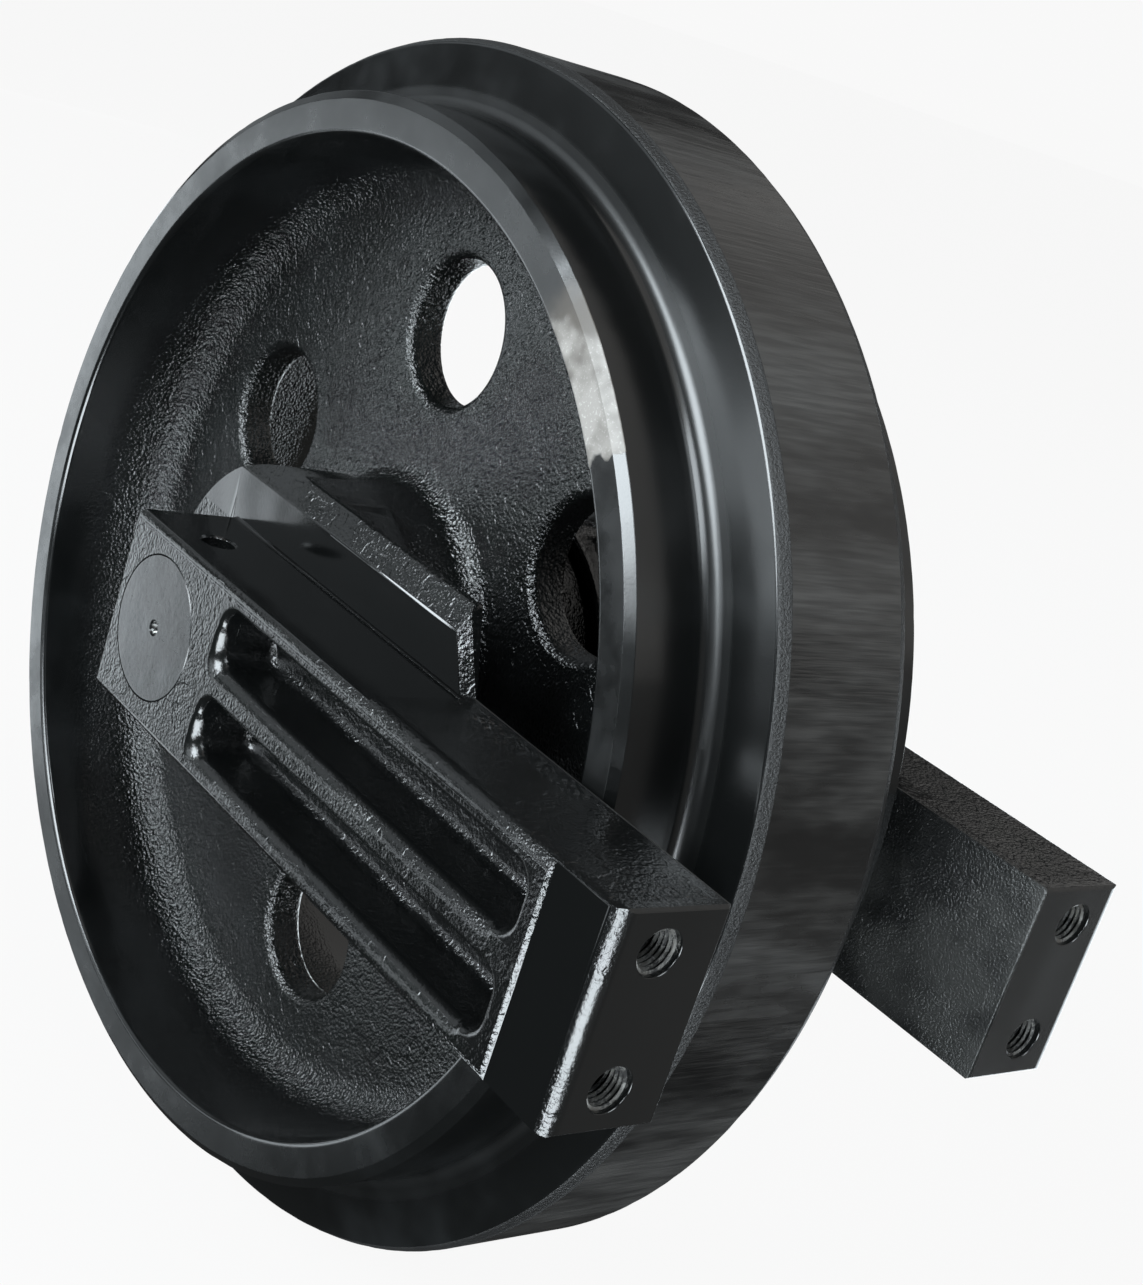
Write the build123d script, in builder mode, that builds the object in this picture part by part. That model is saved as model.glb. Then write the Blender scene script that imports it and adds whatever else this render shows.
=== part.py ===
"""Track idler of a crawler excavator: a flanged guide wheel on a fixed shaft between two cast arms.

Millimetres. The origin is the centre of the wheel on the shaft axis. The shaft lies along Y,
the arms point along +X to their bolting faces, and Z is up. Left is the -Y side.
"""

import os
from math import atan2, cos, radians, tan

from build123d import *

os.makedirs("parts", exist_ok=True)

# Wheel rim and centre flange
flange_radius = 300.0
flange_half_width = 33.0
flange_bevel_width = 5.5
flange_bevel_height = 2.5
flange_side_taper = 8.0
flange_edge_rounding = 2.0
tread_radius = 264.0
tread_fillet = 6.0
rim_half_width = 86.5
rim_chamfer_height = 4.5
rim_chamfer_width = 3.0
rim_wall = 21.0
rim_mouth_rounding = 3.0
dish_draft = 2.6
dish_fillet = 18.0

# Web with its cored holes
web_thickness = 20.0
web_offset = 12.0
web_hole_count = 6
web_hole_land = 26.5
web_hole_draft = 5.7
web_hole_rounding = 3.5
web_hole_start_angle = 34.5

# Hub
hub_half_length = 54.0
hub_end_radius = 76.0
hub_foot_radius = 83.0
hub_edge_rounding = 3.0
hub_foot_fillet = 12.0
oil_cavity_radius = 43.0
oil_cavity_half_length = 12.0

# Shaft and its running parts
shaft_radius = 35.0
shaft_end_chamfer = 0.8
shaft_fit_clearance = 0.05
running_clearance = 0.06
bush_wall = 4.9
bush_seat_clearance = 0.04
bush_flange_radius = 46.0
bush_flange_thickness = 4.0
thrust_clearance = 0.3
centre_drill_radius = 4.0
centre_drill_depth = 7.0
centre_pilot_radius = 1.6
centre_pilot_length = 5.0

# Face seals: two metal rings on a contact plane, each carried by a rubber ring
seal_gap = 2.0
seal_recess_mouth_radius = 57.0
seal_recess_floor_radius = 55.0
seal_recess_depth = 18.0
seal_ring_bore_radius = 42.5
seal_face_outer_radius = 51.0
seal_face_thickness = 3.5
seal_ring_length = 14.0
seal_ramp_start = 4.5
seal_ramp_end = 11.0
seal_ramp_top_radius = 48.5
seal_ramp_foot_radius = 46.2
seal_toe_start = 12.5
seal_toe_radius = 47.2
toric_distance = 8.0
toric_clearance = 0.09

# O-rings between shaft and bracket bores
groove_position = 104.0
groove_width = 5.0
groove_depth = 3.7
o_ring_clearance = 0.05

# Bracket arm
arm_clearance = 7.0
arm_thickness = 56.5
arm_height = 95.0
arm_reach = 344.0
arm_tail = 39.0
arm_tail_rounding = 6.0
arm_tail_chamfer_length = 8.0
arm_tail_chamfer_height = 2.5
arm_top_rounding = 7.0
arm_lower_rounding = 4.0
arm_end_rounding = 8.0
arm_end_chamfer = 1.4
arm_edge_rounding = 1.2
end_pad_length = 39.5
end_pad_depth = 2.2
end_pad_slope = 1.6

# Machined guide faces
guide_end = 172.0
guide_depth = 2.0
guide_corner_rounding = 1.8

# Pockets in the outer face of the arm
pocket_shaft_wall = 21.0
pocket_end_wall = 48.0
pocket_edge_wall = 11.5
pocket_depth = 30.0
pocket_corner = 10.0
pocket_draft = 4.0
pocket_floor_fillet = 5.0
pocket_mouth_rounding = 3.5
rib_width = 14.0

# Guide collar and round boss
boss_radius = 82.5
boss_rounding = 2.0
nose_wall = 4.95
collar_step = 5.5
collar_face_height = 70.0
collar_shoulder = 7.0
collar_lean = 6.0
collar_top_end = 150.0
collar_edge_rounding = 2.0
collar_end_slope = 5.0

# Threaded holes for the yoke
bolt_hole_radius = 10.0
bolt_hole_depth = 40.0
bolt_hole_edge = 18.5
bolt_hole_inset = 28.0
bolt_hole_countersink = 0.5

# Lock pins
pin_radius = 8.0
pin_length = 80.0
pin_position = 128.0
pin_sink = 7.0
pin_chamfer = 1.0
pin_clearance = 0.05

# Oil gallery and its plug in the right end of the shaft
gallery_radius = 3.0
gallery_offset = 19.0
plug_thread_radius = 7.0
plug_thread_length = 10.0
plug_head_radius = 10.0
plug_head_length = 6.0
plug_sink = 1.0
plug_socket_width = 6.0
plug_socket_depth = 5.0
plug_clearance = 0.05
plug_groove_width = 2.25
plug_groove_depth = 2.2

# Sizes that follow from the ones above
arm_inner = rim_half_width + arm_clearance
arm_outer = arm_inner + arm_thickness
arm_half_height = arm_height / 2
arm_length = arm_tail + arm_reach
guide_half_height = arm_half_height - guide_depth
collar_face = arm_inner + collar_step
collar_height = boss_radius
collar_crest = collar_face - collar_shoulder
bolt_row = arm_outer - bolt_hole_inset
bolt_hole_pitch = arm_height - 2 * bolt_hole_edge
pocket_start = shaft_radius + pocket_shaft_wall
pocket_end = arm_reach - pocket_end_wall
pocket_height = (arm_height - rib_width) / 2 - pocket_edge_wall
web_near = web_offset + web_thickness / 2
web_far = web_offset - web_thickness / 2
contact_plane = hub_half_length + seal_gap / 2
boss_end = hub_half_length + seal_gap
hub_recess_floor = hub_half_length - seal_recess_depth
boss_recess_floor = boss_end + seal_recess_depth
bush_bore_radius = shaft_radius + running_clearance
bush_outer_radius = bush_bore_radius + bush_wall
bush_seat_radius = bush_outer_radius + bush_seat_clearance
bush_flange_end = hub_recess_floor + bush_flange_thickness
bracket_bore_radius = shaft_radius + shaft_fit_clearance
nose_radius = bracket_bore_radius + nose_wall
nose_end = bush_flange_end + thrust_clearance
shaft_half_length = arm_outer
flange_side_drop = (flange_radius - flange_bevel_height - tread_radius) * tan(radians(flange_side_taper))
flange_edge = flange_half_width + flange_bevel_width
flange_foot = flange_edge + flange_side_drop
rim_mouth_radius = tread_radius - rim_wall
dish_near_foot = rim_mouth_radius - (rim_half_width - web_near) * tan(radians(dish_draft))
dish_far_foot = rim_mouth_radius - (rim_half_width + web_far) * tan(radians(dish_draft))
web_hole_pitch_radius = (hub_foot_radius + dish_near_foot) / 2
web_hole_radius = (dish_near_foot - dish_fillet - hub_foot_radius - hub_foot_fillet) / 2 - web_hole_land
groove_floor_radius = shaft_radius - groove_depth
pin_top = guide_half_height - pin_sink
plug_seat = shaft_half_length - plug_sink - plug_head_length
plug_groove_radius = plug_thread_radius + plug_clearance + plug_groove_width
plug_ring_section_radius = min(plug_groove_width, plug_groove_depth) / 2 - o_ring_clearance
plug_ring_radius = plug_groove_radius - plug_groove_width / 2
o_ring_section_radius = (bracket_bore_radius - groove_floor_radius) / 2 - o_ring_clearance
o_ring_radius = (bracket_bore_radius + groove_floor_radius) / 2

# The rubber ring touches the ramp of the metal ring and the wall of the recess
ramp_angle = atan2(seal_ramp_top_radius - seal_ramp_foot_radius, seal_ramp_end - seal_ramp_start)
wall_angle = atan2(seal_recess_mouth_radius - seal_recess_floor_radius, seal_recess_depth)
ramp_radius = seal_ramp_top_radius - (toric_distance - seal_ramp_start) * tan(ramp_angle)
wall_radius = seal_recess_mouth_radius - (toric_distance - seal_gap / 2) * tan(wall_angle)
toric_radius = (ramp_radius * cos(ramp_angle) + wall_radius * cos(wall_angle)) / (
    cos(ramp_angle) + cos(wall_angle)
)
toric_section_radius = (toric_radius - ramp_radius) * cos(ramp_angle) - toric_clearance


# Wheel: one casting turned on rim, flange and hub ends
wheel_profile = [
    ((oil_cavity_radius, oil_cavity_half_length), 0),
    ((oil_cavity_radius, -oil_cavity_half_length), 0),
    ((bush_seat_radius, -oil_cavity_half_length), 0),
    ((bush_seat_radius, -hub_recess_floor), 0),
    ((seal_recess_floor_radius, -hub_recess_floor), 0),
    ((seal_recess_mouth_radius, -hub_half_length), 0),
    ((hub_end_radius, -hub_half_length), hub_edge_rounding),
    ((hub_foot_radius, -web_near), hub_foot_fillet),
    ((dish_near_foot, -web_near), dish_fillet),
    ((rim_mouth_radius, -rim_half_width), rim_mouth_rounding),
    ((tread_radius - rim_chamfer_height, -rim_half_width), 0),
    ((tread_radius, -rim_half_width + rim_chamfer_width), 0),
    ((tread_radius, -flange_foot), tread_fillet),
    ((flange_radius - flange_bevel_height, -flange_edge), flange_edge_rounding),
    ((flange_radius, -flange_half_width), 0),
    ((flange_radius, flange_half_width), 0),
    ((flange_radius - flange_bevel_height, flange_edge), flange_edge_rounding),
    ((tread_radius, flange_foot), tread_fillet),
    ((tread_radius, rim_half_width - rim_chamfer_width), 0),
    ((tread_radius - rim_chamfer_height, rim_half_width), 0),
    ((rim_mouth_radius, rim_half_width), rim_mouth_rounding),
    ((dish_far_foot, -web_far), dish_fillet),
    ((hub_foot_radius, -web_far), hub_foot_fillet),
    ((hub_end_radius, hub_half_length), hub_edge_rounding),
    ((seal_recess_mouth_radius, hub_half_length), 0),
    ((seal_recess_floor_radius, hub_recess_floor), 0),
    ((bush_seat_radius, hub_recess_floor), 0),
    ((bush_seat_radius, oil_cavity_half_length), 0),
]

with BuildPart() as wheel:
    with BuildSketch(Plane.XY) as wheel_section:
        with BuildLine():
            FilletPolyline(
                *[point for point, rounding in wheel_profile],
                radius=[rounding for point, rounding in wheel_profile],
                close=True,
            )
        make_face()
    revolve(axis=Axis.Y)
    with BuildSketch(Plane.XZ.offset(web_near)) as cored_holes:
        with PolarLocations(web_hole_pitch_radius, web_hole_count, start_angle=web_hole_start_angle):
            Circle(web_hole_radius)
    extrude(amount=-web_thickness, taper=web_hole_draft, mode=Mode.SUBTRACT)
    fillet(wheel.edges(Select.LAST).filter_by(GeomType.CIRCLE), web_hole_rounding)
wheel.part.label = "idler_wheel"
export_step(wheel.part, "parts/idler_wheel.step")


# Guide collar: a leaning plate around the boss, ended by a slant above and below the arm
with BuildPart() as collar:
    with BuildSketch(Plane.XZ.offset(collar_face)) as collar_outline:
        Circle(boss_radius)
        with BuildLine():
            Polyline(
                (0, -collar_height),
                (collar_top_end, -collar_height),
                (guide_end, -arm_half_height),
                (guide_end, arm_half_height),
                (collar_top_end, collar_height),
                (0, collar_height),
                close=True,
            )
        make_face()
    extrude(amount=-collar_step - collar_lean)
    front_edges = collar.edges().filter_by_position(Axis.Y, -collar_face, -collar_face)
    end_edges = front_edges.filter_by_position(Axis.X, collar_top_end, guide_end - collar_end_slope)
    chamfer(end_edges, collar_end_slope)
    with BuildSketch(Plane.YZ.offset(-boss_radius)) as collar_section:
        with BuildLine():
            FilletPolyline(
                (-collar_face, 0),
                (-collar_face, collar_face_height),
                (-collar_crest, collar_height),
                (-arm_inner + collar_lean, collar_height),
                (-arm_inner, arm_half_height),
                (-arm_inner, 0),
                radius=[0, collar_edge_rounding, collar_edge_rounding, collar_edge_rounding, 0, 0],
                close=True,
            )
        make_face()
        mirror(about=Plane.XZ)
    extrude(amount=boss_radius + guide_end, mode=Mode.INTERSECT)


# Round boss with the seal recess around the nose that holds the bush
with BuildPart() as boss:
    with BuildSketch(Plane.XY) as boss_section:
        with BuildLine():
            FilletPolyline(
                (0, -collar_face),
                (boss_radius, -collar_face),
                (boss_radius, -boss_end),
                (seal_recess_mouth_radius, -boss_end),
                (seal_recess_floor_radius, -boss_recess_floor),
                (nose_radius, -boss_recess_floor),
                (nose_radius, -nose_end),
                (0, -nose_end),
                radius=[0, 0, boss_rounding, 0, 0, 0, 0, 0],
                close=True,
            )
        make_face()
    revolve(axis=Axis.Y)
    with BuildSketch(Plane.YZ.offset(-boss_radius)) as boss_shoulder:
        with BuildLine():
            Polyline(
                (-collar_face, collar_face_height),
                (-collar_crest, collar_height),
                (-collar_face, collar_height),
                close=True,
            )
        make_face()
        mirror(about=Plane.XZ)
    extrude(amount=2 * boss_radius, mode=Mode.SUBTRACT)


# Left bracket, arm first: plan, cross-section and side view cut the same block
with BuildPart() as bracket_left:
    with BuildSketch(Plane.XY) as arm_plan:
        with BuildLine():
            FilletPolyline(
                (-arm_tail, -arm_inner),
                (-arm_tail, -arm_outer),
                (arm_reach - end_pad_length, -arm_outer),
                (arm_reach - end_pad_length + end_pad_slope, -arm_outer + end_pad_depth),
                (arm_reach, -arm_outer + end_pad_depth),
                (arm_reach, -arm_inner),
                radius=[0, 0, 0, 0, arm_end_rounding, arm_edge_rounding],
                close=True,
            )
        make_face()
    extrude(amount=arm_half_height, both=True)
    with BuildSketch(Plane.YZ.offset(-arm_tail)) as arm_section:
        with BuildLine():
            FilletPolyline(
                (-arm_inner, -arm_half_height),
                (-arm_inner, arm_half_height),
                (-arm_outer, arm_half_height),
                (-arm_outer, -arm_half_height),
                radius=[0, 0, arm_top_rounding, arm_lower_rounding],
                close=True,
            )
        make_face()
    extrude(amount=arm_length, mode=Mode.INTERSECT)
    with BuildSketch(Plane.XZ.offset(arm_outer)) as arm_side:
        with BuildLine():
            FilletPolyline(
                (-arm_tail, arm_half_height),
                (arm_reach - arm_end_chamfer, arm_half_height),
                (arm_reach, arm_half_height - arm_end_chamfer),
                (arm_reach, -arm_half_height + arm_end_chamfer),
                (arm_reach - arm_end_chamfer, -arm_half_height),
                (-arm_tail + arm_tail_chamfer_length, -arm_half_height),
                (-arm_tail, -arm_half_height + arm_tail_chamfer_height),
                radius=[arm_tail_rounding, 0, 0, 0, 0, 0, 0],
                close=True,
            )
        make_face()
    extrude(amount=-arm_thickness, mode=Mode.INTERSECT)

    # Guide faces milled into top and bottom, with a rounded corner along the collar
    with BuildSketch(Plane.YZ.offset(guide_end)) as guide_faces:
        with BuildLine():
            FilletPolyline(
                (-arm_outer - arm_clearance, guide_half_height),
                (-collar_face, guide_half_height),
                (-collar_face, arm_height),
                (-arm_outer - arm_clearance, arm_height),
                radius=[0, guide_corner_rounding, 0, 0],
                close=True,
            )
        make_face()
        mirror(about=Plane.XZ)
    extrude(amount=-arm_length, mode=Mode.SUBTRACT)

    # Two long pockets with a rib between them
    with BuildSketch(Plane.XZ.offset(arm_outer)) as pockets:
        pocket_middle = (pocket_start + pocket_end) / 2
        pocket_row = (rib_width + pocket_height) / 2
        with Locations((pocket_middle, pocket_row), (pocket_middle, -pocket_row)):
            RectangleRounded(pocket_end - pocket_start, pocket_height, pocket_corner)
    extrude(amount=-pocket_depth, taper=pocket_draft, mode=Mode.SUBTRACT)
    pocket_rings = bracket_left.edges(Select.LAST).group_by(Axis.Y)
    fillet(pocket_rings[-1], pocket_floor_fillet)
    mouth_edges = bracket_left.faces().sort_by(Axis.Y)[0].inner_wires().edges()
    fillet(mouth_edges, pocket_mouth_rounding)

    # Shaft bore, lock pin hole and the two threaded holes of the end face
    add(collar.part)
    add(boss.part)
    with BuildSketch(Plane.XZ.offset(arm_outer)) as shaft_bore:
        Circle(bracket_bore_radius)
    extrude(amount=-arm_outer, mode=Mode.SUBTRACT)
    with BuildSketch(Plane.XY) as pin_hole:
        with Locations((0, -pin_position)):
            Circle(pin_radius + pin_clearance)
    extrude(amount=arm_height, both=True, mode=Mode.SUBTRACT)
    pin_hole_top = bracket_left.edges(Select.LAST).filter_by(GeomType.CIRCLE).group_by(Axis.Z)[-1]
    chamfer(pin_hole_top, pin_chamfer)
    with BuildSketch(Plane.YZ.offset(arm_reach)) as bolt_holes:
        with Locations((-bolt_row, bolt_hole_pitch / 2), (-bolt_row, -bolt_hole_pitch / 2)):
            Circle(bolt_hole_radius)
    extrude(amount=-bolt_hole_depth, mode=Mode.SUBTRACT)
    chamfer(bracket_left.edges(Select.LAST).group_by(Axis.X)[-1], bolt_hole_countersink)
bracket_left.part.label = "bracket_left"
export_step(bracket_left.part, "parts/bracket_left.step")


# Right bracket, the mirror image
with BuildPart() as bracket_right:
    mirror(bracket_left.part, about=Plane.XZ)
bracket_right.part.label = "bracket_right"
export_step(bracket_right.part, "parts/bracket_right.step")


# Shaft: ground bar with an O-ring groove and a cross hole near each end
with BuildPart() as shaft:
    with BuildSketch(Plane.XY) as shaft_section:
        with BuildLine():
            Polyline(
                (0, 0),
                (0, shaft_half_length),
                (shaft_radius - shaft_end_chamfer, shaft_half_length),
                (shaft_radius, shaft_half_length - shaft_end_chamfer),
                (shaft_radius, groove_position + groove_width / 2),
                (groove_floor_radius, groove_position + groove_width / 2),
                (groove_floor_radius, groove_position - groove_width / 2),
                (shaft_radius, groove_position - groove_width / 2),
                (shaft_radius, 0),
                close=True,
            )
        make_face()
        mirror(about=Plane.XZ)
    revolve(axis=Axis.Y)
    with BuildSketch(Plane.XY) as cross_holes:
        with Locations((0, pin_position), (0, -pin_position)):
            Circle(pin_radius + pin_clearance)
    extrude(amount=arm_height, both=True, mode=Mode.SUBTRACT)

    # Centre drilling in the left end
    with BuildSketch(Plane.XY) as centre_drilling:
        with BuildLine():
            Polyline(
                (0, -shaft_half_length),
                (centre_drill_radius, -shaft_half_length),
                (centre_pilot_radius, -shaft_half_length + centre_drill_depth),
                (centre_pilot_radius, -shaft_half_length + centre_drill_depth + centre_pilot_length),
                (0, -shaft_half_length + centre_drill_depth + centre_pilot_length),
                close=True,
            )
        make_face()
    revolve(axis=Axis.Y, mode=Mode.SUBTRACT)

    # Oil gallery beside the lock pin, from the right end to the middle and out to the bushes
    with BuildSketch(Plane.XZ) as gallery:
        with Locations((-gallery_offset, 0)):
            Circle(gallery_radius)
    extrude(amount=-shaft_half_length, mode=Mode.SUBTRACT)
    with BuildSketch(Plane.YZ.offset(-gallery_offset)) as gallery_outlet:
        Circle(gallery_radius)
    extrude(amount=-shaft_radius, mode=Mode.SUBTRACT)
    with BuildSketch(Plane.XZ.offset(-shaft_half_length)) as plug_counterbore:
        with Locations((-gallery_offset, 0)):
            Circle(plug_head_radius + plug_clearance)
    extrude(amount=plug_sink + plug_head_length, mode=Mode.SUBTRACT)
    with BuildSketch(Plane.XZ.offset(-plug_seat)) as plug_groove:
        with Locations((-gallery_offset, 0)):
            Circle(plug_groove_radius)
    extrude(amount=plug_groove_depth, mode=Mode.SUBTRACT)
    with BuildSketch(Plane.XZ.offset(-plug_seat)) as plug_thread_hole:
        with Locations((-gallery_offset, 0)):
            Circle(plug_thread_radius + plug_clearance)
    extrude(amount=plug_thread_length + plug_sink, mode=Mode.SUBTRACT)
shaft.part.label = "shaft"
export_step(shaft.part, "parts/shaft.step")


# Oil plug: flanged socket screw in the right end of the shaft
with BuildPart() as oil_plug:
    with BuildSketch(Plane.XZ.offset(-plug_seat)) as plug_head:
        with Locations((-gallery_offset, 0)):
            Circle(plug_head_radius)
    extrude(amount=-plug_head_length)
    with BuildSketch(Plane.XZ.offset(-plug_seat)) as plug_thread:
        with Locations((-gallery_offset, 0)):
            Circle(plug_thread_radius)
    extrude(amount=plug_thread_length)
    with BuildSketch(Plane.XZ.offset(-plug_seat - plug_head_length)) as plug_socket:
        with Locations((-gallery_offset, 0)):
            RegularPolygon(plug_socket_width / 2, 6, major_radius=False)
    extrude(amount=plug_socket_depth, mode=Mode.SUBTRACT)
oil_plug.part.label = "oil_plug"
export_step(oil_plug.part, "parts/oil_plug.step")

with BuildPart() as oil_plug_o_ring:
    with BuildSketch(Plane.XY) as plug_ring_section:
        with Locations((-gallery_offset + plug_ring_radius, plug_seat - plug_groove_depth / 2)):
            Circle(plug_ring_section_radius)
    revolve(axis=Axis((-gallery_offset, 0, 0), (0, 1, 0)))
oil_plug_o_ring.part.label = "oil_plug_o_ring"
export_step(oil_plug_o_ring.part, "parts/oil_plug_o_ring.step")


# Running parts and seals, the same on both sides of the wheel
for side, sign in (("left", -1), ("right", 1)):

    # Flanged bronze bush pressed into the hub
    with BuildPart() as bush:
        with BuildSketch(Plane.XY) as bush_section:
            with BuildLine():
                Polyline(
                    (bush_bore_radius, sign * oil_cavity_half_length),
                    (bush_bore_radius, sign * bush_flange_end),
                    (bush_flange_radius, sign * bush_flange_end),
                    (bush_flange_radius, sign * hub_recess_floor),
                    (bush_outer_radius, sign * hub_recess_floor),
                    (bush_outer_radius, sign * oil_cavity_half_length),
                    close=True,
                )
            make_face()
        revolve(axis=Axis.Y)
    bush.part.label = "bush_" + side
    export_step(bush.part, "parts/bush_" + side + ".step")

    # Face seal: the outer half stands in the bracket boss, the inner half turns in the hub
    for half, away in (("outer", 1), ("inner", -1)):
        with BuildPart() as seal_ring:
            with BuildSketch(Plane.XY) as seal_ring_section:
                with BuildLine():
                    Polyline(
                        *[
                            (radius, sign * (contact_plane + away * distance))
                            for radius, distance in (
                                (seal_ring_bore_radius, 0),
                                (seal_face_outer_radius, 0),
                                (seal_face_outer_radius, seal_face_thickness),
                                (seal_ramp_top_radius, seal_ramp_start),
                                (seal_ramp_foot_radius, seal_ramp_end),
                                (seal_toe_radius, seal_toe_start),
                                (seal_toe_radius, seal_ring_length),
                                (seal_ring_bore_radius, seal_ring_length),
                            )
                        ],
                        close=True,
                    )
                make_face()
            revolve(axis=Axis.Y)
        seal_ring.part.label = "seal_ring_" + side + "_" + half
        export_step(seal_ring.part, "parts/seal_ring_" + side + "_" + half + ".step")

        with BuildPart() as toric:
            with BuildSketch(Plane.XY) as toric_section:
                with Locations((toric_radius, sign * (contact_plane + away * toric_distance))):
                    Circle(toric_section_radius)
            revolve(axis=Axis.Y)
        toric.part.label = "toric_" + side + "_" + half
        export_step(toric.part, "parts/toric_" + side + "_" + half + ".step")

    # O-ring that keeps the oil in between shaft and bracket
    with BuildPart() as shaft_o_ring:
        with BuildSketch(Plane.XY) as o_ring_section:
            with Locations((o_ring_radius, sign * groove_position)):
                Circle(o_ring_section_radius)
        revolve(axis=Axis.Y)
    shaft_o_ring.part.label = "shaft_o_ring_" + side
    export_step(shaft_o_ring.part, "parts/shaft_o_ring_" + side + ".step")

    # Lock pin through bracket and shaft, sunk below the upper guide face
    with BuildPart() as lock_pin:
        with BuildSketch(Plane.XY.offset(pin_top - pin_length)) as pin_section:
            with Locations((0, sign * pin_position)):
                Circle(pin_radius)
        extrude(amount=pin_length)
        chamfer(lock_pin.edges().filter_by(GeomType.CIRCLE), pin_chamfer)
    lock_pin.part.label = "lock_pin_" + side
    export_step(lock_pin.part, "parts/lock_pin_" + side + ".step")
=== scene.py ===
import math

import bmesh
import bpy
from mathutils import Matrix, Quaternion, Vector, noise


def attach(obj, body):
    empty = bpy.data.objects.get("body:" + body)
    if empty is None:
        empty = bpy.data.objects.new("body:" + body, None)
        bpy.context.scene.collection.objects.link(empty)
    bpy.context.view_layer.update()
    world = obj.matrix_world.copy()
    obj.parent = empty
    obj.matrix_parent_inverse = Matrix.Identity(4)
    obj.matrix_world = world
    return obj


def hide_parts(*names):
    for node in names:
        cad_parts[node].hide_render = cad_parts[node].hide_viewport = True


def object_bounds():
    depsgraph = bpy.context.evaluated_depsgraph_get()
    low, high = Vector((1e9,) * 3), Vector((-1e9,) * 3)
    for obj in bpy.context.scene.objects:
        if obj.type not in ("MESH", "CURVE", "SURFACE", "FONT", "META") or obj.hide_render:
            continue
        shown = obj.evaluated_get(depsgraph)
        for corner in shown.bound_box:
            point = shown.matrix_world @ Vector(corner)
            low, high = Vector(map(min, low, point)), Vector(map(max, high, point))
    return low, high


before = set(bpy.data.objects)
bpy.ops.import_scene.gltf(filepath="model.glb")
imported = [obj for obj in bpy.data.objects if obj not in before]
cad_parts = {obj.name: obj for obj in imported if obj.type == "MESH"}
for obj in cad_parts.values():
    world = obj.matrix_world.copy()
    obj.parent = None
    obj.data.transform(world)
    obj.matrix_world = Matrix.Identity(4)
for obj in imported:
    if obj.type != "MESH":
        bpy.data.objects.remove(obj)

cad_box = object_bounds()
scene = bpy.context.scene


# Camera: it stands in front of the arms' bolting faces, a little above the shaft,
# and is rolled, so that the level arms run down to the right in the picture.
camera = bpy.data.objects.new("camera", bpy.data.cameras.new("camera"))
scene.collection.objects.link(camera)
camera.data.lens = 58.35
camera.data.clip_start = 0.01
camera.data.clip_end = 100
camera_sight = Vector((-0.70454, 0.64767, -0.29008))
camera_roll = math.radians(18.4)
camera.location = (0.8044, -0.6336, 0.3366)
camera.rotation_mode = "QUATERNION"
camera.rotation_quaternion = camera_sight.to_track_quat("-Z", "Y") @ Quaternion((0, 0, 1), camera_roll)
scene.camera = camera
scene.view_settings.view_transform = "Standard"


# Floor: plain pale paper just under the wheel. It glows evenly like a lit paper sweep,
# and gloss looks through it to the low soft boxes.
floor_half, floor_gap = 60, 0.0005
floor_form = bmesh.new()
bmesh.ops.create_grid(floor_form, x_segments=1, y_segments=1, size=floor_half)
bmesh.ops.translate(floor_form, verts=floor_form.verts, vec=(0, 0, cad_box[0].z - floor_gap))
floor_mesh = bpy.data.meshes.new("floor")
floor_form.to_mesh(floor_mesh)
floor_form.free()
floor = bpy.data.objects.new("floor", floor_mesh)
scene.collection.objects.link(floor)
floor.visible_glossy = False
floor.visible_diffuse = False
floor.visible_shadow = False
floor_paper = bpy.data.materials.new("floor_paper")
floor_paper.use_nodes = True
floor_shader = floor_paper.node_tree.nodes["Principled BSDF"]
for socket_name, value in (("Base Color", (0.02, 0.02, 0.02, 1)), ("Roughness", 0.9),
                           ("Specular IOR Level", 0.0), ("Emission Color", (1.0, 1.0, 1.0, 1)),
                           ("Emission Strength", 0.925)):
    floor_shader.inputs[socket_name].default_value = value
floor_mesh.materials.append(floor_paper)


# Studio light: soft boxes all around, told by heading and height in degrees as seen from the
# wheel. Heading 0 looks along +X and 270 along -Y. The enamel mirrors them in its edges.
daylight, lamplight = (0.87, 0.95, 1.0), (1.0, 0.98, 0.95)
box_distance = 4.0


def softbox(name, heading, height, width, tall, radiance, tint):
    """A rectangular light turned to the wheel, with its half sizes in degrees."""
    lamp = bpy.data.lights.new(name, "AREA")
    lamp.shape = "RECTANGLE"
    lamp.size = 2 * box_distance * math.tan(math.radians(width))
    lamp.size_y = 2 * box_distance * math.tan(math.radians(tall))
    lamp.energy = 4 * radiance * lamp.size * lamp.size_y
    lamp.color = tint
    holder = bpy.data.objects.new(name, lamp)
    scene.collection.objects.link(holder)
    turn, rise = math.radians(heading), math.radians(height)
    toward = Vector((math.cos(turn) * math.cos(rise), math.sin(turn) * math.cos(rise), math.sin(rise)))
    holder.location = toward * box_distance
    holder.rotation_mode = "QUATERNION"
    holder.rotation_quaternion = toward.to_track_quat("Z", "Y")
    holder.visible_camera = False


softbox("box_left", 205, -13, 9, 12, 2.7, daylight)
softbox("box_left_level", 231, -3, 16, 6, 1.7, daylight)
softbox("box_left_floor", 210, -32, 7, 5, 1.1, daylight)
softbox("box_front", 252, 2, 9, 9, 2.0, daylight)
softbox("box_key", 268, 28, 18, 15, 17.0, daylight)
softbox("box_key_low", 318, -21, 20, 13, 16.0, daylight)
softbox("box_right_high", 350, 52, 15, 12, 9.0, daylight)
softbox("box_left_high", 222, 28, 24, 15, 0.6, daylight)
softbox("box_back_high", 75, 38, 42, 20, 0.45, lamplight)
softbox("box_back", 165, 22, 22, 18, 0.25, daylight)
softbox("box_back_floor", 103, -21, 36, 14, 2.4, daylight)
softbox("box_far_left", 172, -16, 18, 13, 1.6, daylight)
softbox("box_above", 20, 84, 22, 22, 0.6, lamplight)
softbox("box_right", 25, -5, 40, 35, 0.14, lamplight)

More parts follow.
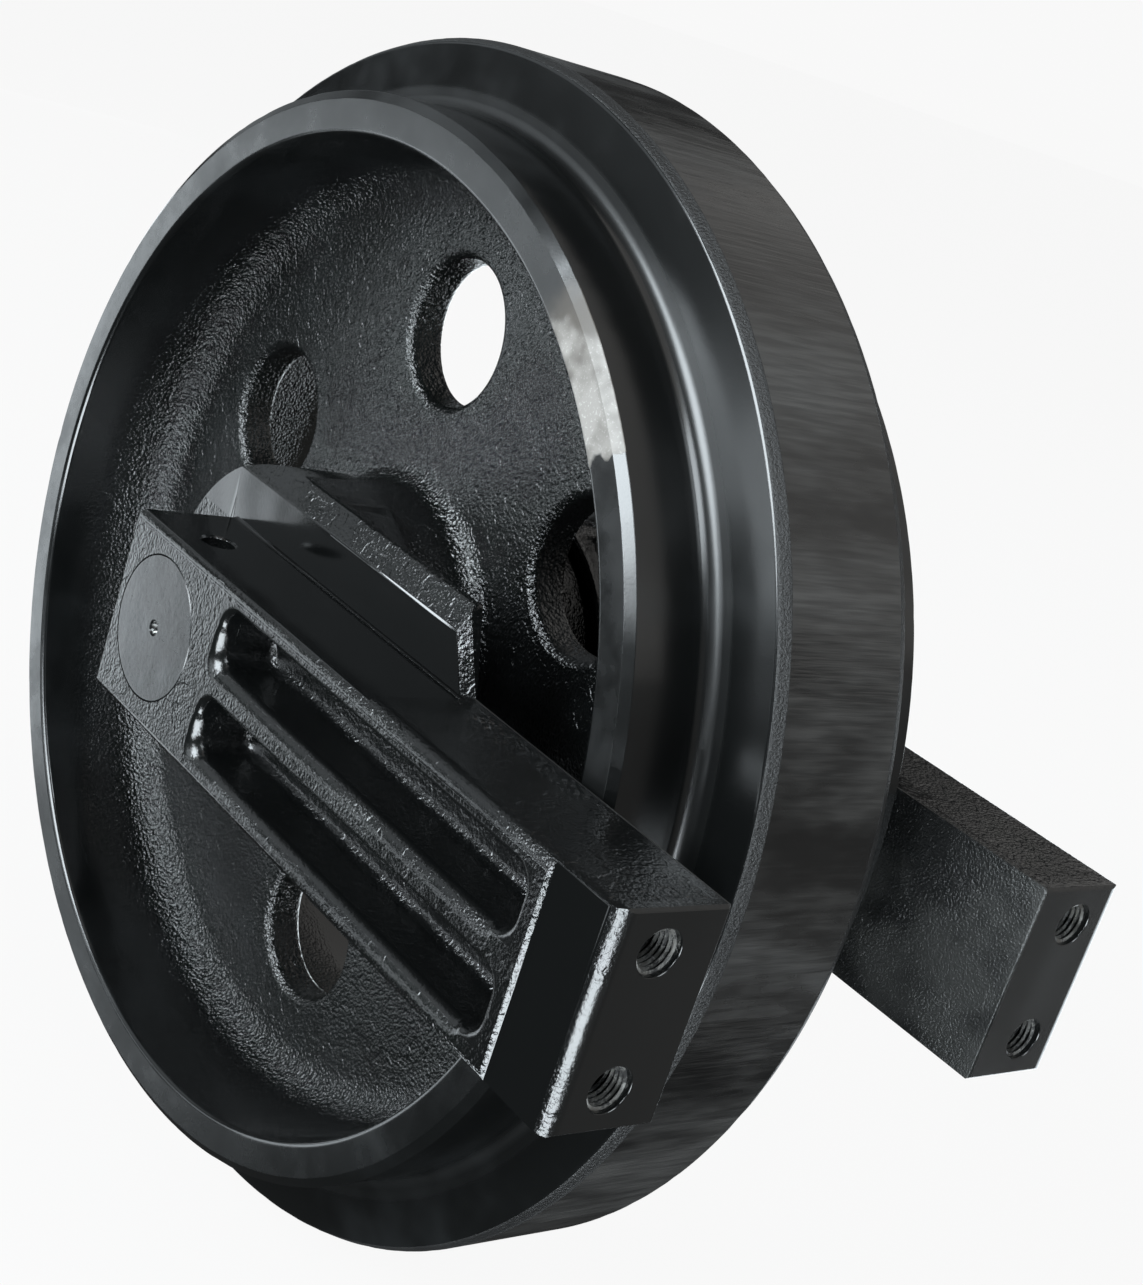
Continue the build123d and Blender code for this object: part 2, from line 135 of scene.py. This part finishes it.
world = bpy.data.worlds.new("studio")
scene.world = world
world.use_nodes = True
sky = world.node_tree
sky.nodes["Background"].inputs["Color"].default_value = (0.94, 0.94, 0.94, 1)
sky_path = sky.nodes.new("ShaderNodeLightPath")
sky_level = sky.nodes.new("ShaderNodeMapRange")
sky_level.inputs["To Min"].default_value = 0.04
sky_level.inputs["To Max"].default_value = 1.0
sky.links.new(sky_path.outputs["Is Camera Ray"], sky_level.inputs["Value"])
sky.links.new(sky_level.outputs["Result"], sky.nodes["Background"].inputs["Strength"])


# Wheel: one iron casting with hub, web, six cored holes and a stepped rim, black enamel over the
# cast skin. Rim faces, treads and flange are turned, so they are smoother than dish, web and hub.
# It is turned here from one section, given as radius, place along the axle and corner rounding.
mm = 0.001
flange_radius, flange_land, flange_edge, flange_foot = 300.0, 33.0, 38.5, 43.2
bevel_radius, flange_fillet = 297.5, 8.0
tread_radius, tread_edge, rim_face, rim_bevel, mouth_radius = 264.0, 83.5, 86.5, 259.5, 243.0
web_near, web_far, web_fillet, dish_fillet = 22.0, 2.0, 12, 18
dish_near_foot, dish_far_foot = 240.07, 238.98
hub_foot, hub_end_radius, hub_end = 83.0, 76.0, 54.0
bore_middle, bore_radius, bore_step = 43.0, 39.99, 12.0
seal_foot, seal_mouth, seal_depth = 55.0, 57.0, 36.0
hub_near_section = [
    (bore_middle, -bore_step, 0), (bore_radius, -bore_step, 0), (bore_radius, -seal_depth, 0),
    (seal_foot, -seal_depth, 0), (seal_mouth, -hub_end, 0),
    (hub_end_radius, -hub_end, 3), (hub_foot, -web_near, web_fillet),
    (dish_near_foot, -web_near, dish_fillet),
]
rim_section = [(mouth_radius, rim_face, 3), (rim_bevel, rim_face, 0.4), (tread_radius, tread_edge, 0.4)]
flange_section = [(tread_radius, flange_foot, flange_fillet), (bevel_radius, flange_edge, 3),
                  (flange_radius, flange_land, 0.3)]
hub_far_section = [
    (dish_far_foot, -web_far, dish_fillet), (hub_foot, -web_far, web_fillet), (hub_end_radius, hub_end, 3),
    (seal_mouth, hub_end, 0), (seal_foot, seal_depth, 0),
    (bore_radius, seal_depth, 0), (bore_radius, bore_step, 0), (bore_middle, bore_step, 0),
]
near_edge = [(radius, -side, rounding) for radius, side, rounding in rim_section + flange_section]
far_edge = [(radius, side, rounding) for radius, side, rounding in reversed(rim_section + flange_section)]
wheel_section = hub_near_section + near_edge + far_edge + hub_far_section


def turned(name, section, steps, centre=(0, 0, 0)):
    """A closed ring or plug turned about the Y axis from one section, its corners rounded."""
    form = bmesh.new()
    corners = [form.verts.new((radius * mm, side * mm, 0)) for radius, side, rounding in section]
    form.faces.new(corners)
    count = len(section)
    for index, (corner, (radius, side, rounding)) in enumerate(zip(corners, section)):
        if rounding:
            before = Vector(section[index - 1][:2]) - Vector((radius, side))
            after = Vector(section[(index + 1) % count][:2]) - Vector((radius, side))
            reach = rounding * mm / math.tan(before.angle(after) / 2)
            bmesh.ops.bevel(form, geom=[corner], offset=reach, offset_type="OFFSET", affect="VERTICES",
                            segments=4 + int(rounding / 2), profile=0.5, material=-1)
    bmesh.ops.delete(form, geom=list(form.faces), context="FACES_ONLY")
    bmesh.ops.spin(form, geom=form.verts[:] + form.edges[:], axis=(0, 1, 0), cent=(0, 0, 0),
                   angle=2 * math.pi, steps=steps, use_merge=True)
    bmesh.ops.remove_doubles(form, verts=form.verts, dist=1e-6)
    bmesh.ops.dissolve_degenerate(form, dist=1e-7, edges=form.edges)
    bmesh.ops.recalc_face_normals(form, faces=form.faces)
    bmesh.ops.translate(form, verts=form.verts, vec=centre)
    mesh = bpy.data.meshes.new(name)
    form.to_mesh(mesh)
    form.free()
    return mesh


def placed(name, mesh):
    """A new piece in the scene, with its place in its mesh."""
    piece = bpy.data.objects.new(name, mesh)
    scene.collection.objects.link(piece)
    return piece


def settled(piece):
    """The piece's modifiers worked into its mesh."""
    shaped = piece.evaluated_get(bpy.context.evaluated_depsgraph_get())
    mesh = bpy.data.meshes.new_from_object(shaped)
    piece.modifiers.clear()
    piece.data = mesh


def cut(piece, cutter):
    """Takes the cutter's shape out of the piece and throws the cutter away."""
    tool = piece.modifiers.new("cut", "BOOLEAN")
    tool.operation = "DIFFERENCE"
    tool.solver = "EXACT"
    tool.object = cutter
    settled(piece)
    bpy.data.objects.remove(cutter)


def smooth_over(piece, sharp=25.0):
    """Smooth shading that keeps the edges that are sharper than this angle, and flat faces flat."""
    piece.data.shade_smooth()
    piece.data.set_sharp_from_angle(angle=math.radians(sharp))
    steady = piece.modifiers.new("steady", "WEIGHTED_NORMAL")
    steady.keep_sharp = True
    settled(piece)


wheel = placed("wheel_casting", turned("wheel_casting", wheel_section, 360))

# The rim's and the flange's outer edges are a little nicked from handling
rim_nick, flange_nick = 0.0011, 0.0008
for v in wheel.data.vertices:
    away_now, side_now = math.hypot(v.co.x, v.co.z) / mm, abs(v.co.y) / mm
    on_rim_edge = away_now > 259.0 and side_now > 83.0
    on_flange_bevel = away_now > 297.2 and side_now > 32.9
    if on_rim_edge or on_flange_bevel:
        nick = noise.noise(v.co * 95.0) + 0.7 * noise.noise(v.co * 260.0)
        v.co *= 1.0 - (flange_nick if on_flange_bevel else rim_nick) * max(0.0, nick - 0.05)

hole_near, hole_far, hole_pitch, clear = 37.04, 35.04, 161.54, 0.03
hole_count, first_hole, core_head, core_past = 6, 34.5, 45.0, 3.0
core_section = [
    (0, -web_near - core_past, 0), (core_head, -web_near - core_past, 0),
    (core_head, -web_near - clear, 0), (hole_near, -web_near - clear, 5),
    (hole_far, -web_far + clear, 3.5), (core_head, -web_far + clear, 0),
    (core_head, -web_far + core_past, 0), (0, -web_far + core_past, 0),
]
cores = bmesh.new()
for index in range(hole_count):
    hole_turn = math.radians(first_hole + 360 / hole_count * index)
    centre = (hole_pitch * mm * math.cos(hole_turn), 0, hole_pitch * mm * math.sin(hole_turn))
    cores.from_mesh(turned("core", core_section, 72, centre))
core_mesh = bpy.data.meshes.new("cores")
cores.to_mesh(core_mesh)
cores.free()
cut(wheel, placed("cores", core_mesh))
smooth_over(wheel)
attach(wheel, "wheel")
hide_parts("idler_wheel")


class Finish:
    """A node material with short ways to add and join its nodes."""

    def __init__(self, name, colour, roughness):
        self.material = bpy.data.materials.new(name)
        self.material.use_nodes = True
        self.tree = self.material.node_tree
        self.shader = self.tree.nodes["Principled BSDF"]
        self.shader.inputs["Base Color"].default_value = (*colour, 1)
        self.shader.inputs["Roughness"].default_value = roughness
        self.place = self.add("TexCoord").outputs["Object"]

    def add(self, kind, **settings):
        node = self.tree.nodes.new("ShaderNode" + kind)
        for key, value in settings.items():
            setattr(node, key, value)
        return node

    def join(self, source, socket):
        """Links an output to the socket, or sets the socket to a number."""
        if isinstance(source, (int, float)):
            socket.default_value = source
        else:
            self.tree.links.new(source, socket)

    def colour(self, source):
        self.join(source, self.shader.inputs["Base Color"])

    def roughness(self, source):
        self.join(source, self.shader.inputs["Roughness"])

    def metallic(self, source):
        self.join(source, self.shader.inputs["Metallic"])

    def math(self, operation, *values):
        node = self.add("Math", operation=operation)
        for value, socket in zip(values, node.inputs):
            self.join(value, socket)
        return node.outputs["Value"]

    def above(self, value, limit):
        return self.math("GREATER_THAN", value, limit)

    def below(self, value, limit):
        return self.math("LESS_THAN", value, limit)

    def near(self, value, middle, reach):
        """1 within reach of the middle, 0 elsewhere."""
        return self.below(self.math("ABSOLUTE", self.math("SUBTRACT", value, middle)), reach)

    def ramp(self, value, low, high, out_low=0.0, out_high=1.0):
        """A smooth step from one number to the other between low and high."""
        node = self.add("MapRange", interpolation_type="SMOOTHSTEP")
        for item, socket in zip((value, low, high, out_low, out_high), node.inputs):
            self.join(item, socket)
        return node.outputs["Result"]

    def weigh(self, *pairs):
        """The sum of each value times its weight."""
        total = 0.0
        for value, weight in pairs:
            total = self.math("MULTIPLY_ADD", value, weight, total)
        return total

    def all_of(self, *masks):
        result = masks[0]
        for mask in masks[1:]:
            result = self.math("MULTIPLY", result, mask)
        return result

    def axes(self):
        node = self.add("SeparateXYZ")
        self.join(self.place, node.inputs["Vector"])
        return node.outputs["X"], node.outputs["Y"], node.outputs["Z"]

    def from_axle(self, x, z):
        """Distance from the axle."""
        squares = (self.math("MULTIPLY", x, x), 1.0), (self.math("MULTIPLY", z, z), 1.0)
        return self.math("SQRT", self.weigh(*squares))

    def stretched(self, along_x, along_y, along_z):
        """Places told with a scale of their own along each axis."""
        node = self.add("Mapping")
        self.join(self.place, node.inputs["Vector"])
        node.inputs["Scale"].default_value = (along_x, along_y, along_z)
        return node.outputs["Vector"]

    def noise(self, scale, detail=2.0, roughness=0.5, place=None):
        node = self.add("TexNoise")
        node.inputs["Scale"].default_value = scale
        node.inputs["Detail"].default_value = detail
        node.inputs["Roughness"].default_value = roughness
        self.join(place or self.place, node.inputs["Vector"])
        return node.outputs["Fac"]

    def cells(self, scale):
        """Distance to the nearest of many scattered points: round grains or pits."""
        node = self.add("TexVoronoi", feature="F1")
        node.inputs["Scale"].default_value = scale
        self.join(self.place, node.inputs["Vector"])
        return node.outputs["Distance"]

    def blend(self, amount, first, second):
        """A colour that goes from the first to the second as the amount rises to 1."""
        node = self.add("Mix", data_type="RGBA")
        self.join(amount, node.inputs["Factor"])
        for item, socket in ((first, node.inputs["A"]), (second, node.inputs["B"])):
            if isinstance(item, tuple):
                socket.default_value = (*item, 1)
            else:
                self.join(item, socket)
        return node.outputs["Result"]

    def relief(self, heights, depth):
        """Heights are fractions of the depth in metres."""
        node = self.add("Bump")
        node.inputs["Strength"].default_value = 1.0
        node.inputs["Distance"].default_value = depth
        self.join(heights, node.inputs["Height"])
        self.join(node.outputs["Normal"], self.shader.inputs["Normal"])


def finish_nodes(beginning, finish):
    """Gives a finish to every CAD node whose name begins so."""
    for name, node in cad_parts.items():
        if name.startswith(beginning):
            for slot in node.material_slots:
                slot.material = finish.material


enamel_black, dusty_black = (0.0020, 0.0022, 0.0022), (0.0055, 0.006, 0.0062)
edge_black = (0.0015, 0.0015, 0.0015)
worn_dark, worn_and_sheen_light = (0.0025, 0.0025, 0.0025), (0.03, 0.029, 0.0275)
bare_iron, bright_iron, stained_iron = (0.16, 0.151, 0.14), (0.3, 0.295, 0.28), (0.045, 0.039, 0.033)

wheel_finish = f = Finish("wheel_enamel", enamel_black, 0.13)
x, y, z = f.axes()
off_middle, away, angle = f.math("ABSOLUTE", y), f.from_axle(x, z), f.math("ARCTAN2", z, x)

# The parts of the casting, told by radius and by distance from the middle plane
turned_part = f.above(away, 0.2432)
cast_part = f.ramp(away, 0.2425, 0.2405)
rough_cast = f.math("MULTIPLY", cast_part, f.ramp(away, 0.205, 0.235, 1.0, 1.7))
flange_rim = f.above(away, 0.2995)
bevel_band = f.all_of(f.above(away, 0.2972), f.above(off_middle, 0.0326))
fillet_zone = f.all_of(f.ramp(away, 0.2642, 0.2665), f.ramp(away, 0.2765, 0.2735),
                       f.ramp(off_middle, 0.0535, 0.0500), f.ramp(off_middle, 0.0385, 0.0400))
rim_part = f.all_of(f.below(away, 0.2600), f.above(off_middle, 0.0864), turned_part)

# Cast grain on the dish, the web and the hub, and streaks over the worn flange
grain, bumps = f.noise(820.0, 2.0, 0.65), f.cells(560.0)
lumps, waves = f.noise(120.0, 1.0, 0.5), f.noise(26.0, 0.0)
pits = f.ramp(lumps, 0.52, 0.62)
streaks = f.noise(1.0, 2.0, 0.6, f.stretched(420.0, 25.0, 420.0))
f.relief(f.weigh(
    (f.math("MULTIPLY", grain, rough_cast), 1.0),
    (f.math("MULTIPLY", bumps, rough_cast), -0.95),
    (f.math("MULTIPLY", pits, cast_part), -0.7),
    (f.math("MULTIPLY", lumps, cast_part), 1.0),
    (f.math("MULTIPLY", streaks, flange_rim), 0.7),
    (f.math("MULTIPLY", grain, bevel_band), 1.6),
    (grain, 0.04),
    (waves, 1.0),
), 0.0005)

# On the near rim face, about half way from the arms to the top, the enamel is gone and stained
# iron shows
ragged = f.math("MULTIPLY_ADD", f.noise(90.0, 2.0, 0.65), 0.06, angle)
patch = f.all_of(f.ramp(ragged, 0.735, 0.745), f.ramp(ragged, 1.07, 0.98),
                 f.above(away, 0.2440), f.below(away, 0.2645), f.below(y, -0.083))
stain = f.ramp(f.math("ADD", f.noise(48.0, 2.0, 0.65), f.ramp(angle, 0.85, 1.05, 0.0, 0.3)), 0.42, 0.72)
speckle = f.ramp(grain, 0.55, 0.7, 0.0, 0.6)
iron = f.blend(stain, f.blend(speckle, bare_iron, bright_iron), stained_iron)

dust = f.ramp(f.noise(14.0, 3.0, 0.6), 0.45, 0.75, 0.0, 0.8)
# The lighter blotches and streaks on the flange's land are partly wear and partly painted reflection: they
# lift its colour from the dark worn tone to a painted sheen
blotches = f.ramp(f.noise(1.0, 5.0, 0.7, f.stretched(13.0, 3.0, 13.0)), 0.38, 0.64)
wear_and_sheen = f.math("MULTIPLY", blotches, f.ramp(streaks, 0.3, 0.7, 0.4, 1.0))
worn_and_sheen_land = f.blend(wear_and_sheen, worn_dark, worn_and_sheen_light)
shade = f.blend(flange_rim, f.blend(dust, enamel_black, dusty_black), worn_and_sheen_land)
shade = f.blend(bevel_band, shade, edge_black)
f.colour(f.blend(patch, shade, iron))
f.roughness(f.weigh(
    (fillet_zone, 0.12), (cast_part, -0.03), (dust, 0.12), (f.math("MULTIPLY", flange_rim, blotches), 0.24),
    (flange_rim, 0.01), (bevel_band, 0.35), (patch, 0.35), (turned_part, 0.11),
    (f.math("MULTIPLY", rim_part, blotches), 0.16), (0.08, 1.0)))
wheel.data.materials.append(wheel_finish.material)
finish_nodes("idler_wheel", wheel_finish)


# Brackets: two cast arms that hold the shaft and slide between plates of the track frame. Black
# enamel over a pitted cast skin; guide faces, collar, end face and pad are milled before painting.
# The lower and inner edges of the pockets are fettled round, which shows as a stripe along each bar.
arm_face, pocket_start, pocket_end, pocket_corner = 150.0, 56.0, 296.0, 10.0
pocket_rows = ((7.0, 36.0), (-36.0, -7.0))
fettled, fettled_inner = 8.0, 0.65
stop_short, top_short = 7.0, 6.0


def fettling(foot_line, top_line, side):
    """The body that leaves one pocket's mouth rounded below and at its inner end."""
    form = bmesh.new()
    steps = [(fettled * (1 - math.cos(math.radians(turn))), fettled * (1 - math.sin(math.radians(turn))))
             for turn in range(0, 85, 12)]
    steps += [(steps[-1][0] + 1.6, -0.25), (steps[-1][0] + 1.7, -4.0)]
    loops = []
    for spread, depth in steps:
        left, right = pocket_start + fettled_inner - fettled_inner * spread, pocket_end - stop_short
        foot, top = foot_line + fettled_inner - spread, top_line - top_short
        level = side * (arm_face - depth) * mm
        corners = [form.verts.new((across * mm, level, height * mm))
                   for across, height in ((left, foot), (right, foot), (right, top), (left, top))]
        form.faces.new(corners)
        bmesh.ops.bevel(form, geom=corners, offset=(pocket_corner - 0.5) * mm, offset_type="OFFSET",
                        affect="VERTICES", segments=6, profile=0.5, material=-1)
        loops.append([edge for edge in form.edges if all(abs(v.co.y - level) < 1e-7 for v in edge.verts)])
    inner_levels = [loop[0].verts[0].co.y for loop in loops[1:-1]]
    inside = [face for face in form.faces
              if any(abs(face.verts[0].co.y - level) < 1e-7 for level in inner_levels)]
    bmesh.ops.delete(form, geom=inside, context="FACES_ONLY")
    for first, second in zip(loops, loops[1:]):
        bmesh.ops.bridge_loops(form, edges=first + second)
    bmesh.ops.recalc_face_normals(form, faces=form.faces)
    mesh = bpy.data.meshes.new("fettling")
    form.to_mesh(mesh)
    form.free()
    return placed("fettling", mesh)


sandy_black = (0.0125, 0.0128, 0.0122)
bracket_finish = f = Finish("bracket_enamel", enamel_black, 0.13)
x, y, z = f.axes()
off_middle, off_level = f.math("ABSOLUTE", y), f.math("ABSOLUTE", z)

# The milled faces, and the faces towards the wheel, which were only dusted with enamel
guide = f.all_of(f.near(off_level, 0.0455, 0.0004), f.below(x, 0.1725), f.above(off_middle, 0.0985))
collar = f.all_of(f.near(off_middle, 0.099, 0.0004), f.above(off_level, 0.044))
end_face = f.above(x, 0.3437)
pad = f.all_of(f.near(off_middle, 0.1478, 0.0004), f.above(x, 0.3055))
milled = f.math("MAXIMUM", f.math("MAXIMUM", guide, collar), f.math("MAXIMUM", end_face, pad))
cast_part = f.math("SUBTRACT", 1.0, milled)
inner = f.all_of(f.below(off_middle, 0.0945), f.below(off_level, 0.0476))
end_edge = f.ramp(x, 0.336, 0.341)
lips = f.all_of(f.near(off_middle, 0.1465, 0.0052), f.near(off_level, 0.022, 0.0165),
                f.near(x, 0.175, 0.124))

# Cast grain, weaker on the fettled edges, and torn flash along the inner edge of the top
grain, bumps = f.noise(900.0, 2.0, 0.65), f.cells(620.0)
lumps, waves = f.noise(150.0, 1.0, 0.5), f.noise(30.0, 0.0)
pits = f.ramp(lumps, 0.52, 0.62)
coarse = f.all_of(cast_part, f.ramp(waves, 0.35, 0.65, 0.5, 1.1),
                  f.math("MULTIPLY_ADD", lips, -0.7, 1.0), f.math("MULTIPLY_ADD", end_edge, -0.55, 1.0))
flash_marks = f.all_of(
    f.near(off_level, 0.0475, 0.0006), f.near(x, 0.2245, 0.0375),
    f.near(f.math("ADD", off_middle, f.math("MULTIPLY", lumps, 0.006)), 0.1045, 0.0065))
scales = f.math("PINGPONG", f.weigh((x, 130.0), (off_middle, -260.0), (lumps, 1.6)), 0.5)
f.relief(f.weigh(
    (f.math("MULTIPLY", grain, coarse), 0.5),
    (f.math("MULTIPLY", bumps, coarse), -0.42),
    (f.math("MULTIPLY", pits, f.math("MULTIPLY", coarse, f.math("SUBTRACT", 1.0, inner))), -0.5),
    (f.math("MULTIPLY", grain, inner), 0.9),
    (f.math("MULTIPLY", lumps, cast_part), 0.6),
    (f.math("MULTIPLY", scales, flash_marks), 4.0),
    (grain, 0.03),
    (waves, 0.8),
), 0.0005)
patchy = f.noise(17.0, 3.0, 0.65)
f.colour(f.blend(f.math("MULTIPLY", inner, f.ramp(patchy, 0.36, 0.6)), enamel_black, sandy_black))
f.roughness(f.weigh((cast_part, 0.04), (inner, 0.2), (patchy, 0.1), (end_edge, 0.08), (lips, 0.05),
                    (0.06, 1.0)))

for hand, side in (("left", -1), ("right", 1)):
    casting_form = bmesh.new()
    casting_form.from_mesh(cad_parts["bracket_" + hand].data)
    bmesh.ops.remove_doubles(casting_form, verts=casting_form.verts, dist=2e-6)
    bmesh.ops.dissolve_limit(casting_form, angle_limit=math.radians(0.3), use_dissolve_boundaries=False,
                             verts=casting_form.verts, edges=casting_form.edges)
    casting_mesh = bpy.data.meshes.new("bracket_casting_" + hand)
    casting_form.to_mesh(casting_mesh)
    casting_form.free()
    casting = placed("bracket_casting_" + hand, casting_mesh)
    for foot_line, top_line in pocket_rows:
        cut(casting, fettling(foot_line, top_line, side))
    casting.data.materials.clear()
    casting.data.materials.append(bracket_finish.material)
    smooth_over(casting)
    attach(casting, "carrier")
    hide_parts("bracket_" + hand)
finish_nodes("bracket", bracket_finish)


# Threads: two M20 holes are tapped in the end face of each arm for the bolts of the yoke. The
# ridges are wound in from the face; they are bright steel where the enamel didn't reach.
bolt_side, bolt_rise, thread_pitch, thread_start = 122.0, 29.0, 2.5, 343.2
ridge_foot, ridge_top, thread_turns, turn_steps = 10.15, 8.75, 14, 32
ridge_section = ((-1.15, ridge_foot), (0.0, ridge_foot), (-0.42, ridge_top), (-0.73, ridge_top))

thread_finish = f = Finish("thread_steel", (0.2, 0.2, 0.2), 0.3)
painted_over = f.ramp(f.noise(140.0, 3.0, 0.6), 0.42, 0.62)
f.colour(f.blend(painted_over, (0.34, 0.335, 0.32), (0.03, 0.03, 0.03)))
f.metallic(f.math("MULTIPLY_ADD", painted_over, -0.8, 1.0))
f.roughness(f.math("MULTIPLY_ADD", painted_over, -0.1, 0.34))

for hand, side in (("left", -1), ("right", 1)):
    threads_form = bmesh.new()
    for height in (bolt_rise, -bolt_rise):
        across = side * bolt_side * mm
        ridge = bmesh.new()
        corners = [ridge.verts.new(((thread_start + along) * mm, across, (height + from_axis) * mm))
                   for along, from_axis in ridge_section]
        start_face = ridge.faces.new(corners)
        bmesh.ops.spin(ridge, geom=ridge.verts[:] + ridge.edges[:] + [start_face], axis=(1, 0, 0),
                       cent=(0, across, height * mm), dvec=(-thread_pitch * mm / turn_steps, 0, 0),
                       angle=2 * math.pi * thread_turns, steps=thread_turns * turn_steps)
        bmesh.ops.recalc_face_normals(ridge, faces=ridge.faces)
        ridge_mesh = bpy.data.meshes.new("ridge")
        ridge.to_mesh(ridge_mesh)
        ridge.free()
        threads_form.from_mesh(ridge_mesh)
    threads_mesh = bpy.data.meshes.new("bolt_threads_" + hand)
    threads_form.to_mesh(threads_mesh)
    threads_form.free()
    threads = placed("bolt_threads_" + hand, threads_mesh)
    threads.data.shade_smooth()
    threads.data.set_sharp_from_angle(angle=math.radians(35))
    threads.data.materials.append(thread_finish.material)
    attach(threads, "carrier")


# Shaft: a ground steel bar, fixed in both arms. Its end faces are flush with the arms and were
# painted over with them, so they are satin enamel with a few scratches.
shaft_finish = f = Finish("shaft_steel", enamel_black, 0.22)
x, y, z = f.axes()
painted = f.above(f.math("ABSOLUTE", y), 0.1488)
dull = f.ramp(f.noise(55.0, 4.0, 0.6), 0.42, 0.7)
scratches = f.ramp(f.noise(1.0, 3.0, 0.6, f.stretched(180.0, 180.0, 950.0)), 0.6, 0.7)
steel = f.blend(f.noise(60.0, 3.0, 0.6), (0.30, 0.30, 0.30), (0.42, 0.42, 0.41))
rubbed_dull = f.math("MAXIMUM", dull, f.math("MULTIPLY", scratches, 0.5))
enamel = f.blend(rubbed_dull, enamel_black, (0.006, 0.0068, 0.0072))
f.colour(f.blend(painted, steel, enamel))
f.metallic(f.math("SUBTRACT", 1.0, painted))
f.roughness(f.weigh((f.noise(50.0, 3.0, 0.6), 0.14), (scratches, 0.08), (0.15, 1.0)))
f.relief(f.weigh((f.noise(380.0, 3.0, 0.6), 0.22), (f.noise(60.0, 2.0, 0.5), 0.6),
                 (scratches, -0.06)), 0.0002)
finish_nodes("shaft", shaft_finish)


# Bushes: turned bronze with a thrust flange, pressed into the hub from both ends. The wheel
# runs on them, and fine turning marks go around the bore.
bronze_finish = f = Finish("bush_bronze", (0.45, 0.27, 0.12), 0.3)
turning = f.noise(1.0, 2.0, 0.5, f.stretched(90.0, 2600.0, 90.0))
f.colour(f.blend(f.noise(70.0, 4.0, 0.6), (0.50, 0.30, 0.13), (0.34, 0.20, 0.10)))
f.shader.inputs["Metallic"].default_value = 1.0
f.roughness(f.weigh((turning, 0.2), (0.2, 1.0)))
f.relief(turning, 0.00006)
finish_nodes("bush", bronze_finish)


# Face seal rings: hard cast metal, lapped where they meet and oily elsewhere. The inner ring of
# each pair turns with the wheel on an oil film, so it stands clear of the outer one.
seal_plane, oil_film = 55.0, 0.03
seal_finish = f = Finish("seal_metal", (0.36, 0.36, 0.37), 0.25)
oily = f.ramp(f.noise(80.0, 4.0, 0.6), 0.4, 0.65)
f.colour(f.blend(oily, (0.40, 0.40, 0.41), (0.22, 0.21, 0.20)))
f.shader.inputs["Metallic"].default_value = 1.0
f.roughness(f.weigh((oily, 0.18), (0.16, 1.0)))
f.relief(f.noise(1.0, 2.0, 0.5, f.stretched(120.0, 3000.0, 120.0)), 0.00004)
finish_nodes("seal_ring", seal_finish)
for hand in ("left", "right"):
    node_name = "seal_ring_" + hand + "_inner"
    ring = bmesh.new()
    ring.from_mesh(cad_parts[node_name].data)
    bmesh.ops.remove_doubles(ring, verts=ring.verts, dist=2e-6)
    for v in ring.verts:
        if abs(abs(v.co.y) - seal_plane * mm) < 0.005 * mm:
            v.co.y -= math.copysign(oil_film * mm, v.co.y)
    ring_mesh = bpy.data.meshes.new("turning_" + node_name)
    ring.to_mesh(ring_mesh)
    ring.free()
    ring_mesh.materials.append(seal_finish.material)
    turning_ring = placed("turning_" + node_name, ring_mesh)
    smooth_over(turning_ring)
    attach(turning_ring, "wheel")
    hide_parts(node_name)


# Rubber rings: moulded nitrile rubber, matt, with a little dust. The thick ones press the seal
# rings together, and the thin ones lie in grooves of the shaft and under the plug.
rubber_finish = f = Finish("seal_rubber", (0.012, 0.012, 0.012), 0.6)
f.colour(f.blend(f.ramp(f.noise(120.0, 4.0, 0.6), 0.4, 0.75), (0.010, 0.010, 0.010), (0.030, 0.029, 0.027)))
f.roughness(f.weigh((f.noise(300.0, 3.0, 0.6), 0.25), (0.45, 1.0)))
f.relief(f.noise(1500.0, 2.0, 0.5), 0.00006)
for beginning in ("toric", "shaft_o_ring", "oil_plug_o_ring"):
    finish_nodes(beginning, rubber_finish)


# Lock pins and oil plug: blackened steel, driven or screwed in after the arms were painted. They
# are rubbed bright in places, the plug more than the pins.
pin_finish = Finish("pin_steel", (0.02, 0.02, 0.021), 0.35)
plug_finish = Finish("plug_steel", (0.03, 0.03, 0.031), 0.3)
for f, worn, fine in ((pin_finish, (0.09, 0.088, 0.085), 60.0), (plug_finish, (0.13, 0.128, 0.12), 110.0)):
    rubbed = f.ramp(f.noise(fine, 4.0, 0.65), 0.5, 0.72)
    f.colour(f.blend(rubbed, (0.014, 0.0145, 0.015), worn))
    f.metallic(f.math("MULTIPLY", rubbed, 0.8))
    f.roughness(f.weigh((f.noise(200.0, 2.0, 0.5), 0.2), (0.24, 1.0)))
    f.relief(f.noise(700.0, 3.0, 0.6), 0.00005)
finish_nodes("lock_pin", pin_finish)
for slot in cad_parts["oil_plug"].material_slots:
    slot.material = plug_finish.material
